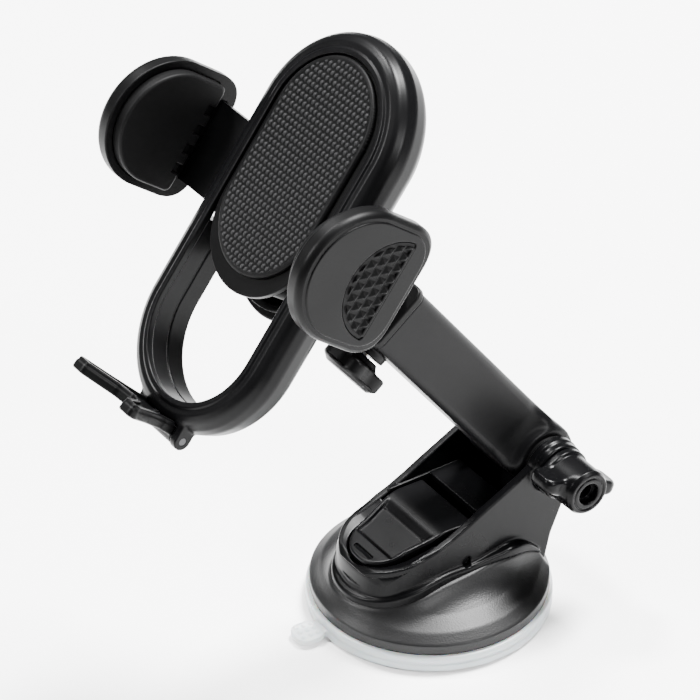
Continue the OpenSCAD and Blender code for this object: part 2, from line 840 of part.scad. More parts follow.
// flat arm of the right jaw; the rack reaches past the centre on the upper side
module jaw_arm(level) {
  pitch_u = gear_pitch;
  top = pitch_u + dedendum;
  half_t = rack_pitch / 4 - backlash / 2;
  translate([0, jaw_u, level]) {
    linear_extrude(height = arm_t) {
      translate([arm_root, -arm_half]) square([jaw_shell_in + 2 - arm_root, 2 * arm_half]);
      translate([-rack_tail, top]) square([rack_tail + arm_root + eps, rack_bar]);
      for (i = [-2 : 4]) {
        translate([rack_pitch * (i + 0.5), 0])
          polygon([[-half_t - tan(pressure) * dedendum, top + eps],
                   [-half_t + tan(pressure) * addendum, pitch_u - addendum],
                   [half_t - tan(pressure) * addendum, pitch_u - addendum],
                   [half_t + tan(pressure) * dedendum, top + eps]]);
      }
    }
  }
}

module right_arm() {
  color([0.12, 0.12, 0.13])
    in_cradle() jaw_arm(right_level);
}

module left_arm() {
  color([0.12, 0.12, 0.13])
    in_cradle() translate([0, 2 * jaw_u, 0]) rotate([0, 0, 180]) jaw_arm(left_level);
}

// ---- jaws, drawn for the right side ----
module jaw_shape(r, back) {
  intersection() {
    union() {
      translate([jaw_u, jaw_c]) circle(r = r, $fn = fine);
      translate([jaw_u - r, back]) square([2 * r, jaw_c - back]);
    }
    translate([jaw_u - r - 1, back]) square([2 * r + 2, jaw_n]);
  }
}

// section of the shell: radius against depth from the pad side
module shell_section() {
  polygon([[0, 0], [jaw_r - 0.6, 0], [jaw_r, 0.6], [jaw_r, 3], [jaw_r - 0.5, 4], [jaw_r - 1.5, 4.9],
           [jaw_r - 3, 5.5], [0, 5.5]]);
}

module jaw_shell(level) {
  difference() {
    translate([jaw_shell_in, jaw_u, jaw_c]) rotate([90, 0, 90]) {
      rotate_extrude(angle = 180, $fn = fine) shell_section();
      for (s = [0, 1]) {
        mirror([s, 0, 0]) rotate([90, 0, 0]) linear_extrude(height = jaw_c - jaw_back) shell_section();
      }
    }
    // seat of the grip insert
    translate([jaw_shell_out - 1, 0, 0]) slab_x(0, 2) grip_shape(grip_r + 0.1);
    // pocket of the arm end
    translate([jaw_shell_in - 1, jaw_u - arm_half - 0.05, level - 0.05])
      cube([3.05, 2 * arm_half + 0.1, arm_t + 0.1]);
    // seat of the soft pad
    slab_x(jaw_shell_in - 1, jaw_shell_in + 0.8) jaw_shape(jaw_r - 2.4, -2.5);
  }
}

grip_r = 14.2;
grip_back = -3;

module grip_shape(r) {
  intersection() {
    translate([jaw_u, grip_back]) circle(r = r, $fn = fine);
    translate([jaw_u - 20, grip_back]) square([40, 30]);
  }
}

module jaw_pad() {
  difference() {
    union() {
      slab_x(jaw_x + 0.8, jaw_shell_in + 0.75) jaw_shape(jaw_r - 2.5, -2.4);
      slab_x(jaw_x, jaw_x + 0.9) jaw_shape(jaw_r - 3.4, -2.4);
    }
    for (i = [-2 : 1]) {
      translate([jaw_x - 1, jaw_u + 1.3 + 6 * i, -3]) cube([2.6, 3, 3.4]);
    }
  }
}

module grip() {
  slab_x(jaw_shell_out - 0.95, jaw_shell_out - 0.1) grip_shape(grip_r);
  for (i = [-4 : 4]) {
    for (j = [0 : 4]) {
      u = i * 3.2 + (j % 2) * 1.6;
      n = 1.6 + j * 2.6;
      if (u * u + n * n < (grip_r - 1.7) * (grip_r - 1.7)) {
        translate([jaw_shell_out - 0.15, jaw_u + u, grip_back + n]) rotate([0, 90, 0])
          cylinder(r1 = 1.35, r2 = 0.25, h = 0.95, $fn = 4);
      }
    }
  }
}

module right_jaw() {
  color([0.1, 0.1, 0.11]) in_cradle() jaw_shell(right_level);
}

module left_jaw() {
  color([0.1, 0.1, 0.11]) in_cradle() mirror([1, 0, 0]) jaw_shell(left_level);
}

module right_jaw_pad() {
  color([0.07, 0.07, 0.08]) in_cradle() jaw_pad();
}

module left_jaw_pad() {
  color([0.07, 0.07, 0.08]) in_cradle() mirror([1, 0, 0]) jaw_pad();
}

module right_grip() {
  color([0.09, 0.09, 0.1]) in_cradle() grip();
}

module left_grip() {
  color([0.09, 0.09, 0.1]) in_cradle() mirror([1, 0, 0]) grip();
}

// ---- release button ----
module release_button() {
  color([0.14, 0.14, 0.15]) {
    in_cradle() {
      translate([0, button_u, cover_back - 1.8]) cylinder(r = 4, h = 5, $fn = small_fn);
      translate([0, button_u, cover_front + 0.3]) cylinder(r = 5.4, h = 1.4, $fn = small_fn);
    }
  }
}

module button_spring() {
  color([0.7, 0.72, 0.74]) {
    in_cradle() translate([0, button_u, cover_front + 3.4]) coil(3, 0.35, 4, 1.4);
  }
}

// ---- foot ----
module foot_fork() {
  color([0.1, 0.1, 0.11]) {
    in_cradle() {
      translate([0, foot_u, foot_n]) rotate([-foot_rise, 0, 0]) {
        difference() {
          union() {
            rod_x(2.3, -7.6, 7.6, small_fn);
            translate([0, 2.3, 0]) rotate([90, 0, 0]) linear_extrude(height = 2.8) {
              polygon([[-7.6, 0], [7.6, 0], [7.8, 7], [10.6, 15.4], [14.6, 24], [14.2, 25.4], [13, 26.2],
                       [9.8, 26.2], [8.4, 25.2], [3.6, 16.8], [2, 15.6], [0, 15.2],
                       [-2, 15.6], [-3.6, 16.8], [-8.4, 25.2], [-9.8, 26.2], [-13, 26.2],
                       [-14.2, 25.4], [-14.6, 24], [-10.6, 15.4], [-7.8, 7]]);
            }
            for (s = [-1, 1]) {
              translate([s * 11.6, 2.2, 25]) rotate([0, s * 23, 0]) translate([-1.1, 0, -13]) cube([2.2, 1, 12]);
            }
          }
          rod_x(1.05 + fit, -20, 20, 24);
        }
      }
    }
  }
}

module foot_pin() {
  color([0.7, 0.72, 0.74]) in_cradle() translate([0, foot_u, foot_n]) rod_x(1.05, -10.4, 10.4, 24);
}

suction_cup();
cup_stem();
stem_spring();
base_dome();
base_housing();
base_screws();
lock_lever();
lever_pin();
pivot_bolt();
pivot_washers();
pivot_knob();
knob_nut();
outer_arm();
arm_collar();
inner_arm();
clamp_screw();
clamp_knob();
clamp_nut();
ball_stud();
ball_liner();
ball_nut();
cradle_back();
cradle_ring();
pad_plate();
phone_pad();
cradle_screws();
left_arm();
right_arm();
left_jaw();
right_jaw();
left_jaw_pad();
right_jaw_pad();
left_grip();
right_grip();
sync_gear();
gear_post();
release_button();
button_spring();
foot_fork();
foot_pin();
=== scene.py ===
import math

import bpy
import numpy as np
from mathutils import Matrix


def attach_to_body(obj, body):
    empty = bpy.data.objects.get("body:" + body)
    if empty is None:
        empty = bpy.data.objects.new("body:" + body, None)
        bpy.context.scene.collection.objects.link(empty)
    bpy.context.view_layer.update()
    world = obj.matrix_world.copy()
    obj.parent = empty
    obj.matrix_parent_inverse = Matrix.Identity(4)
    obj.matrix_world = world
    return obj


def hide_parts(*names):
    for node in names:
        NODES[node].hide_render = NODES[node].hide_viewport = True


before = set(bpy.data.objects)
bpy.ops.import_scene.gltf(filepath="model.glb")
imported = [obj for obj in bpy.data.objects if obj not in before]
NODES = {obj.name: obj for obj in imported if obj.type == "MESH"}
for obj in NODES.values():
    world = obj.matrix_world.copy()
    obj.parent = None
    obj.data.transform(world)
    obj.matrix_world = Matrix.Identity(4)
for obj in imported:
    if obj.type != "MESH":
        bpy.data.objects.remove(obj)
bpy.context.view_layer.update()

import openvdb
from mathutils import Matrix, Vector

# ---------------------------------------------------------------- sizes, mm
CUP_R, CUP_H, DOME_R = 36.0, 5.0, 35.0
HOUSE, WALL, NOSE_Y = 16.5, 2.5, 29.5
CAVITY = HOUSE - WALL
PIVOT_Y, PIVOT_Z, EAR_R = 32.0, 42.5, 8.6
PIN_Y, PIN_Z = 1.4, 21.6
LEAN = math.radians(37.3)
TUBE_LEN, TUBE_W, TUBE_D, REACH, CLAMP_S = 80.0, 17.0, 20.2, 104.0, 74.2
CRADLE_Y, CRADLE_Z = 56.3, 147.2
RING_R, RING_IN, RING_S, RING_D = 28.0, 20.5, 30.5, 14.5
JAW_X, JAW_R, JAW_U, JAW_N, JAW_BACK = 40.0, 18.8, 7.2, 26.8, -11.0
SHELL_IN, SHELL_OUT, JAW_C = JAW_X + 3.5, JAW_X + 9.0, JAW_N - JAW_R
FOOT_U, FOOT_N, FOOT_RISE = -59.4, -4.5, math.radians(8)
PLATE_FRONT, PLATE_BACK, PAD_R, PAD_U0, PAD_U1 = -0.8, -2.8, 17.6, 5.9, 31.3
BALL_Y = CRADLE_Y + PIVOT_Y - REACH * math.sin(LEAN)
BALL_Z = PIVOT_Z + REACH * math.cos(LEAN) - CRADLE_Z
BALL_U = BALL_Y * math.sin(LEAN) + BALL_Z * math.cos(LEAN)
BALL_N = -BALL_Y * math.cos(LEAN) + BALL_Z * math.sin(LEAN)

# ---------------------------------------------------------------- frames
AXIS = Vector((0, -math.sin(LEAN), math.cos(LEAN)))
FACE = Vector((0, math.cos(LEAN), math.sin(LEAN)))
UP = Vector((0, math.sin(LEAN), math.cos(LEAN)))
OUT = Vector((0, -math.cos(LEAN), math.sin(LEAN)))
RIGHT = Vector((1, 0, 0))


def placed(origin, ax, ay, az):
    m = np.eye(4)
    m[:3, 0], m[:3, 1], m[:3, 2], m[:3, 3] = ax, ay, az, origin
    return m


WORLD = np.eye(4)
ARM = placed((0, PIVOT_Y, PIVOT_Z), RIGHT, FACE, AXIS)
CRADLE = placed((0, -CRADLE_Y, CRADLE_Z), RIGHT, UP, OUT)
BALL = CRADLE @ placed((0, BALL_U, BALL_N), RIGHT, (0, 1, 0), (0, 0, 1))
FOOT = CRADLE @ placed(
    (0, FOOT_U, FOOT_N), RIGHT,
    (0, math.cos(FOOT_RISE), -math.sin(FOOT_RISE)), (0, math.sin(FOOT_RISE), math.cos(FOOT_RISE)))
MIRROR = CRADLE @ np.diag([-1.0, 1, 1, 1])


# ---------------------------------------------------------------- distance shapes
def any_of(*d):
    out = d[0]
    for v in d[1:]:
        out = np.minimum(out, v)
    return out


def join(a, b, k):
    """union with a fillet about k wide"""
    h = np.maximum(k - np.abs(a - b), 0) / k
    return np.minimum(a, b) - h * h * k / 4


def both(a, b, k=0.0):
    """intersection, its edge rounded about k wide"""
    if np.isscalar(k) and k <= 0:
        return np.maximum(a, b)
    h = np.maximum(k - np.abs(a - b), 0) / k
    return np.maximum(a, b) + h * h * k / 4


def cut(a, b, k=0.0):
    return both(a, -b, k)


def box2(u, v, hu, hv, r=0.0):
    a, b = np.abs(u) - hu + r, np.abs(v) - hv + r
    return np.minimum(np.maximum(a, b), 0) + np.sqrt(np.maximum(a, 0) ** 2 + np.maximum(b, 0) ** 2) - r


def ext(d, w, w0, w1, r=0.0):
    """outline d drawn out from w0 to w1, edges rounded by r"""
    a, b = d + r, np.abs(w - (w0 + w1) / 2) - abs(w1 - w0) / 2 + r
    return np.minimum(np.maximum(a, b), 0) + np.sqrt(np.maximum(a, 0) ** 2 + np.maximum(b, 0) ** 2) - r


def disc(u, v, r):
    return np.sqrt(u * u + v * v) - r


def hexagon(u, v, r):
    d = np.abs(u)
    for a in (60, -60):
        d = np.maximum(d, np.abs(u * math.cos(math.radians(a)) + v * math.sin(math.radians(a))))
    return d - r * math.cos(math.radians(30))


def poly(u, v, pts):
    """signed distance to a closed outline"""
    best, inside = None, None
    for i in range(len(pts)):
        ax, ay = pts[i]
        bx, by = pts[i - 1]
        ex, ey = bx - ax, by - ay
        if ex * ex + ey * ey < 1e-12:
            continue
        wx, wy = u - ax, v - ay
        t = np.clip((wx * ex + wy * ey) / (ex * ex + ey * ey), 0, 1)
        q = (wx - ex * t) ** 2 + (wy - ey * t) ** 2
        c1, c2, c3 = v >= ay, v < by, ex * wy > ey * wx
        flip = (c1 & c2 & c3) | (~c1 & ~c2 & ~c3)
        best = q if best is None else np.minimum(best, q)
        inside = flip if inside is None else inside ^ flip
    return np.where(inside, -1.0, 1.0) * np.sqrt(best)


def outline(pts, steps=6):
    """corner list (x, y, radius) to a polyline with round corners"""
    out, n = [], len(pts)
    for i in range(n):
        p = np.array(pts[i][:2], float)
        r = pts[i][2] if len(pts[i]) > 2 else 0
        a, b = np.array(pts[i - 1][:2], float), np.array(pts[(i + 1) % n][:2], float)
        da, db = a - p, b - p
        la, lb = np.linalg.norm(da), np.linalg.norm(db)
        if r <= 0 or la < 1e-9 or lb < 1e-9:
            out.append(tuple(p))
            continue
        da, db = da / la, db / lb
        half = math.acos(max(-1, min(1, float(da @ db)))) / 2
        if abs(math.pi / 2 - half) < 0.01:
            out.append(tuple(p))
            continue
        t = min(r / math.tan(half), 0.49 * la, 0.49 * lb)
        for k in range(steps + 1):
            s = k / steps
            out.append(tuple((1 - s) ** 2 * (p + da * t) + 2 * s * (1 - s) * p + s * s * (p + db * t)))
    return out


def smooth_line(x, knots):
    """piecewise curve through (x, y) knots, eased between them"""
    xs, ys = zip(*knots)
    i = np.clip(np.searchsorted(xs, x) - 1, 0, len(xs) - 2)
    x0, x1 = np.take(xs, i), np.take(xs, i + 1)
    y0, y1 = np.take(ys, i), np.take(ys, i + 1)
    t = np.clip((x - x0) / (x1 - x0), 0, 1)
    m = np.gradient(np.array(ys, float), np.array(xs, float))
    m0, m1 = np.take(m, i) * (x1 - x0), np.take(m, i + 1) * (x1 - x0)
    t2, t3 = t * t, t * t * t
    return (2 * t3 - 3 * t2 + 1) * y0 + (t3 - 2 * t2 + t) * m0 + (3 * t2 - 2 * t3) * y1 + (t3 - t2) * m1


# ---------------------------------------------------------------- meshes
def make_mesh(name, points, faces, normals=None):
    points = np.asarray(points, float) / 1000.0
    faces = np.asarray(faces, np.int32)
    me = bpy.data.meshes.new(name)
    me.vertices.add(len(points))
    me.vertices.foreach_set("co", points.astype(np.float32).ravel())
    me.loops.add(faces.size)
    me.loops.foreach_set("vertex_index", faces.ravel())
    me.polygons.add(len(faces))
    me.polygons.foreach_set("loop_start", np.arange(0, faces.size, faces.shape[1], dtype=np.int32))
    me.update(calc_edges=True)
    me.polygons.foreach_set("use_smooth", np.ones(len(faces), bool))
    if normals is not None:
        me.normals_split_custom_set_from_vertices(normals.tolist())
    obj = bpy.data.objects.new(name, me)
    bpy.context.scene.collection.objects.link(obj)
    return obj


def attach(obj, mat, body, replaces=()):
    obj.data.materials.clear()
    obj.data.materials.append(mat)
    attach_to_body(obj, body)
    if replaces:
        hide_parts(*replaces)
    return obj


def solid(name, f, lo, hi, step, place):
    """closed mesh of the surface f = 0 inside a box, corners in mm in the place's axes"""
    h = step * 1.0
    ax = [np.arange(a - 2.5 * h, b + 3.5 * h, h) for a, b in zip(lo, hi)]
    shape = tuple(len(a) for a in ax)
    d = f(ax[0][:, None, None], ax[1][None, :, None], ax[2][None, None, :])
    d = np.ascontiguousarray(np.clip(np.broadcast_to(d, shape), -3 * h, 3 * h).astype(np.float32))
    grid = openvdb.FloatGrid(3 * h)
    grid.copyFromArray(d)
    pts, _, quads = grid.convertToPolygons(0.0, 0.0)
    p = pts.astype(float) * h + np.array([a[0] for a in ax])

    def slope(q, e=0.02):
        g = np.empty_like(q)
        for k in range(3):
            step_k = np.zeros(3)
            step_k[k] = e
            a, b = q + step_k, q - step_k
            g[:, k] = (f(a[:, 0], a[:, 1], a[:, 2]) - f(b[:, 0], b[:, 1], b[:, 2])) / (2 * e)
        return g

    for _ in range(2):
        g = slope(p)
        v = f(p[:, 0], p[:, 1], p[:, 2])
        move = -g * (v / np.maximum((g * g).sum(1), 0.2))[:, None]
        size = np.linalg.norm(move, axis=1)
        p = p + move * np.minimum(1, 0.45 * h / np.maximum(size, 1e-9))[:, None]
    g = slope(p, 0.35 * h)
    m = np.asarray(place, float)
    world = p @ m[:3, :3].T + m[:3, 3]
    normals = g @ m[:3, :3].T
    normals /= np.maximum(np.linalg.norm(normals, axis=1), 1e-9)[:, None]
    if np.linalg.det(m[:3, :3]) < 0:
        quads = quads[:, ::-1]
    return make_mesh(name, world, quads, normals)


# ---------------------------------------------------------------- materials
SHEEN = 0.075


def material(name, color, rough, metallic=0.0, grain=0.0, grain_size=0.4, wear=0.05, extra=None):
    """procedural finish: grain is a fine bump in mm, wear varies the roughness, plastics reflect little"""
    m = bpy.data.materials.new(name)
    m.use_nodes = True
    nt = m.node_tree
    b = nt.nodes["Principled BSDF"]
    b.inputs["Base Color"].default_value = (*color, 1)
    b.inputs["Roughness"].default_value = rough
    b.inputs["Metallic"].default_value = metallic
    b.inputs["Specular IOR Level"].default_value = 0.5 if metallic or max(color) > 0.1 else SHEEN
    coord = nt.nodes.new("ShaderNodeTexCoord")
    cloud = nt.nodes.new("ShaderNodeTexNoise")
    cloud.inputs["Scale"].default_value = 55.0
    cloud.inputs["Detail"].default_value = 3.0
    nt.links.new(coord.outputs["Object"], cloud.inputs["Vector"])
    spread = nt.nodes.new("ShaderNodeMapRange")
    spread.inputs["From Min"].default_value = 0.3
    spread.inputs["From Max"].default_value = 0.7
    spread.inputs["To Min"].default_value = rough - wear
    spread.inputs["To Max"].default_value = rough + wear
    nt.links.new(cloud.outputs["Fac"], spread.inputs["Value"])
    nt.links.new(spread.outputs["Result"], b.inputs["Roughness"])
    tint = nt.nodes.new("ShaderNodeMix")
    tint.data_type = "RGBA"
    tint.inputs["A"].default_value = (*[c * 0.85 for c in color], 1)
    tint.inputs["B"].default_value = (*[min(1, c * 1.12) for c in color], 1)
    nt.links.new(cloud.outputs["Fac"], tint.inputs["Factor"])
    nt.links.new(tint.outputs["Result"], b.inputs["Base Color"])
    if grain > 0:
        fine = nt.nodes.new("ShaderNodeTexNoise")
        fine.inputs["Scale"].default_value = 1000.0 / grain_size
        fine.inputs["Detail"].default_value = 2.0
        nt.links.new(coord.outputs["Object"], fine.inputs["Vector"])
        bump = nt.nodes.new("ShaderNodeBump")
        bump.inputs["Strength"].default_value = 1.0
        bump.inputs["Distance"].default_value = grain / 1000.0
        nt.links.new(fine.outputs["Fac"], bump.inputs["Height"])
        nt.links.new(bump.outputs["Normal"], b.inputs["Normal"])
    for key, value in (extra or {}).items():
        b.inputs[key].default_value = value
    return m


M = {
    "dome": material("satin_grain", (0.0030, 0.0030, 0.0032), 0.42, grain=0.05, grain_size=0.5, wear=0.04,
                     extra={"Specular IOR Level": 0.2}),
    "gloss": material("gloss_black", (0.0014, 0.0014, 0.0016), 0.30, grain=0.006, grain_size=0.9, wear=0.05),
    "arm": material("satin_black", (0.0018, 0.0018, 0.0020), 0.38, grain=0.012, grain_size=0.6, wear=0.05),
    "ring": material("ring_black", (0.0018, 0.0018, 0.0020), 0.34, grain=0.008, grain_size=0.8, wear=0.05),
    "jaw": material("jaw_black", (0.0012, 0.0012, 0.0013), 0.40, grain=0.014, grain_size=0.5, wear=0.05),
    "pad": material("pad_rubber", (0.0016, 0.0016, 0.0017), 0.50, grain=0.01, grain_size=0.3, wear=0.06),
    # the pad rubber again with a ten times lighter base colour: a painted highlight for the dot tops
    "tip": material("pad_dots_painted_highlight", (0.016, 0.016, 0.0165), 0.42, grain=0.01, grain_size=0.3, wear=0.06),
    "soft": material("soft_rubber", (0.0016, 0.0016, 0.0017), 0.55, grain=0.01, grain_size=0.4, wear=0.05),
    "steel": material("steel", (0.55, 0.56, 0.58), 0.30, metallic=1.0, grain=0.004, grain_size=0.3,
                      wear=0.06),
    "dark": material("blackened_steel", (0.03, 0.03, 0.032), 0.35, metallic=0.6, grain=0.004, grain_size=0.3,
                     wear=0.06),
    "brass": material("brass", (0.72, 0.52, 0.22), 0.32, metallic=1.0, grain=0.004, grain_size=0.3,
                      wear=0.06),
    "nylon": material("white_nylon", (0.72, 0.72, 0.69), 0.45, grain=0.006, grain_size=0.5, wear=0.05,
                      extra={"Subsurface Weight": 0.15}),
    "cup": material("clear_soft", (0.90, 0.91, 0.915), 0.32, grain=0.01, grain_size=1.2, wear=0.05,
                    extra={"Transmission Weight": 0.55, "IOR": 1.44, "Subsurface Weight": 0.2}),
}

# ---------------------------------------------------------------- suction cup and dome
TURN = math.radians(-95)


def cup(x, y, z):
    r = np.sqrt(x * x + y * y)
    rim = outline([(-5, 0, 0), (CUP_R, 0, 0.7), (CUP_R, CUP_H, 0.8), (31.5, CUP_H, 0.6), (27, 4.4, 1),
                   (-5, 4.4, 0)])
    d = poly(r, z, rim)
    d = cut(d, disc(r - CUP_R - 0.25, z - 2.7, 0.55), 0.3)
    a = x * math.cos(TURN) + y * math.sin(TURN)
    b = -x * math.sin(TURN) + y * math.cos(TURN)
    neck = box2(a - 36, b, 6, 3.1, 0.5)
    lobe = box2(a - 40.6, b, 4.2, 4.4, 3.2)
    tab = ext(join(neck, lobe, 1.5), z, 0.4, 2.2, 0.5)
    d = join(d, tab, 0.9)
    bumps = np.full(np.shape(d), 9.0)
    for i in range(3):
        for j in (-1, 0, 1):
            da, db = a - (38.2 + 2.35 * i), b - 2.3 * j
            bumps = np.minimum(bumps, np.sqrt(da * da + db * db + (z - 2.05) ** 2) - 0.75)
    return join(d, bumps, 0.4)


# upper and lower edge of the seam flange along the housing
BAND_TOP = [(-45, 15.2), (-31, 15.4), (-26, 16.6), (-18, 18.9), (-7.5, 20.6), (4, 20.5), (11, 21.5),
            (16, 22.2),
            (20, 21.4), (24, 18.7), (27, 15.6), (31, 11.0), (60, 9.0)]
BAND_LOW = [(-45, 11.6), (-31, 11.8), (-26, 12.6), (-18, 14.2), (-7, 15.8), (3, 16.9), (10, 18.6), (18, 18.4),
            (22, 17.2), (26.4, 14.6), (31, 9.0), (60, 7.0)]


def boat(x, y, r):
    """plan of the housing, grown to half width r"""
    yy = np.minimum(y + NOSE_Y - HOUSE, 0.0)
    return np.sqrt(x * x + yy * yy) - r


def dome(x, y, z):
    r = np.sqrt(x * x + y * y)
    skin = outline([(-5, 0, 0), (DOME_R, 0, 0), (DOME_R, 8.3, 0.5), (DOME_R - 0.55, 8.75, 0.15),
                    (31.6, 10.6, 5),
                    (26, 12.6, 10), (18, 16.4, 8), (10, 17.5, 4), (-5, 17.5, 0)])
    d = poly(r, z, skin)
    low = smooth_line(y, BAND_LOW)
    swell = both(boat(x, y, HOUSE + 0.4) - 2.2 * np.exp(-((y - 15.0) / 9.0) ** 2), z - low - 0.3, 1.4)
    swell = both(swell, y - 26.5, 1.2)
    d = join(d, swell, 7.5)
    d = cut(d, both(boat(x, y, CAVITY - 0.6), 17.45 - z, 0.2), 0.2)
    d = both(d, r - DOME_R, 0.3)
    d = both(d, 5.05 - z, 0.5)
    hollow = poly(r, z, outline([(-5, -1, 0), (32.6, -1, 0), (32.6, 7.6, 1), (30.6, 9.2, 1), (25, 11.4, 2),
                                 (17, 14.6, 2), (-5, 15.4, 0)]))
    d = cut(d, hollow, 0.3)
    return cut(d, box2(x, y, 5, 5, 0.5), 0.3)


# ---------------------------------------------------------------- lever outlines
LEVER_TOP, LEVER_TIP, TONGUE_R = 31.8, -26.0, 10.0
LEVER = outline([(6, 31.4, 0.4), (-4.0, 31.8, 10), (-18.5, 27.2, 5), (-22.4, 26.1, 3), (LEVER_TIP, 25.2, 1.0),
                 (LEVER_TIP + 0.3, 23.0, 0.9), (-18.5, 24.8, 3), (-4.9, 29.8, 4), (6, 29.4, 0.4)])
DISH = outline([(-20.6, 45, 0), (-20.2, 27.6, 0.4), (-19.2, 26.1, 0.8), (-9, 29.1, 3), (-5.6, 32.2, 1),
                (-5.4, 45, 0)])


def tongue(x, y):
    """plan of the lever: straight sides, a little narrower and round at the tip"""
    width = smooth_line(y, [(LEVER_TIP + 4, 10.0), (LEVER_TIP + TONGUE_R, 10.3), (-7, 12.2), (0, 12.5),
                            (20, 12.5)])
    straight = both(np.abs(x) - width, LEVER_TIP + TONGUE_R - y, 0)
    return any_of(disc(x, y - LEVER_TIP - TONGUE_R, TONGUE_R), straight), width


# ---------------------------------------------------------------- housing
SIDE = outline([(-NOSE_Y, 9, 0), (-NOSE_Y, 17.5, 5), (-28.2, 22.4, 4), (-26.2, 24.9, 2.5), (-21, 26.3, 6),
                (-15, 27.6, 8), (-10, 29.0, 8), (-4, 31.1, 10), (2, 33.9, 10), (8, 37.0, 10), (14, 39.9, 10),
                (20, 42.9, 10), (26, 46.6, 8), (PIVOT_Y - 3.0, PIVOT_Z + EAR_R - 1.2, 3),
                (PIVOT_Y, PIVOT_Z + EAR_R - 0.3, 2), (PIVOT_Y + 8.0, PIVOT_Z + 2, 5),
                (PIVOT_Y + 7.3, PIVOT_Z - 4.4, 8), (PIVOT_Y + 4, 29, 12), (31.8, 19, 8), (29.5, 9, 0)])
HOLLOW = outline([(-60, 10, 0), (-60, 60, 0), (60, 60, 0), (60, 31.5, 0), (PIVOT_Y + 1, 31.5, 3),
                  (28.8, 19, 2),
                  (27, 5, 0), (-60, 5, 0)])


def housing(x, y, z):
    side = any_of(poly(y, z, SIDE), disc(y - PIVOT_Y, z - PIVOT_Z, EAR_R))
    body = ext(side, x, -HOUSE, HOUSE, 0.9)
    body = both(body, boat(x, y, HOUSE), 0.9 + 4.2 * np.clip((-y - 8) / 12, 0, 1))
    well = both(both(np.abs(x) - CAVITY, boat(x, y, CAVITY), 1.0), poly(y, z, HOLLOW), 1.0)
    body = cut(body, well, 0.5)
    lip = both(both(boat(x, y, HOUSE - 0.8), 0.6 - tongue(x, y)[0], 0.3), both(22.6 - z, y + 7.5, 0.4), 0.3)
    fall = 0.25 + 0.32 * np.maximum(0, -boat(x, y, HOUSE - 2.2))
    body = any_of(body, both(lip, side + fall, 0.5))
    floor = ext(both(boat(x, y, HOUSE - 1.0), y + 11, 0.2), z, 9.5, 18.5, 0.4)
    body = any_of(body, both(floor, side + 0.3, 0.2))
    # seam flange that follows the dome's crown
    top, low = smooth_line(y, BAND_TOP), smooth_line(y, BAND_LOW)
    band = both(z - top, low - z, 0.3)
    lobe = 1.2 + 1.8 * np.exp(-((y - 15.5) / 8.5) ** 2)
    flange = both(both(boat(x, y, HOUSE) - lobe, band, 1.2), -boat(x, y, CAVITY + 1), 0.2)
    flange = both(flange, y - 27.2, 1.0)
    body = join(body, flange, 0.9)
    ears = ext(disc(y - PIVOT_Y, z - PIVOT_Z, 8.2), np.abs(x), HOUSE - 1, 19, 0.7)
    body = join(body, ears, 0.8)
    shelf = ext(box2(y - 14.8, z - 31, 5.5, 1.0, 0.3), x, -CAVITY - 0.5, CAVITY + 0.5, 0)
    back = ext(box2(y - 19.4, z - 25, 0.8, 6.5, 0.3), x, -CAVITY - 0.5, CAVITY + 0.5, 0)
    body = any_of(body, shelf, back)
    ledge = ext(box2(y - 3, z - 31.2, 8, 0.8, 0.4), x, -CAVITY - 0.5, -CAVITY + 0.9, 0.2)
    body = any_of(body, ledge)
    crown = poly(np.sqrt(x * x + y * y), z, [(-5, -5), (DOME_R + 3, -5), (DOME_R + 3, 8.2), (34.2, 9.4),
                                             (31.6, 10.6),
                                            (26, 12.7), (18, 16.2), (12, 17.5), (-5, 17.5)])
    body = cut(body, crown, 0)
    pin = disc(y - PIN_Y, z - PIN_Z, 1.45)
    body = cut(body, ext(pin, np.abs(x), HOUSE - 1.4, HOUSE + 3, 0), 0.35)
    body = cut(body, ext(disc(y - PIVOT_Y, z - PIVOT_Z, 2.6), x, -40, 40, 0), 0.2)
    return cut(body, ext(hexagon(y - PIVOT_Y, z - PIVOT_Z, 4.75), x, -30, -16.0, 0), 0.3)


# ---------------------------------------------------------------- lever
def lever(x, y, z):
    plan, width = tongue(x, y)
    plate = both(poly(y, z, LEVER), plan, 0.7)
    dish = both(poly(y, z, DISH), np.abs(x) - width + 1.6, 0.7)
    plate = cut(plate, dish, 0.5)
    grip = ext(box2(y + 23.2, x, 0.55, 4.2, 0.5), z, 24, 28.6, 0.2)
    plate = cut(plate, both(grip, 25.3 - z, 0.1), 0.2)
    cheek = any_of(poly(y, z, [(PIN_Y - 3.4, PIN_Z), (PIN_Y + 3.4, PIN_Z), (6, LEVER_TOP - 1.4),
                               (-9, LEVER_TOP - 2.8)]),
                   disc(y - PIN_Y, z - PIN_Z, 3.4))
    plate = join(plate, ext(cheek, np.abs(x), 8.6, 11.6, 0.4), 0.6)
    t = math.radians(20)
    cam = ext(disc(y - PIN_Y - 2 * math.sin(t), z - PIN_Z - 2 * math.cos(t), 3.0), np.abs(x), 4.8, 8.8, 0.2)
    plate = any_of(plate, cam)
    return cut(plate, ext(disc(y - PIN_Y, z - PIN_Z, 1.46), x, -30, 30, 0), 0.1)


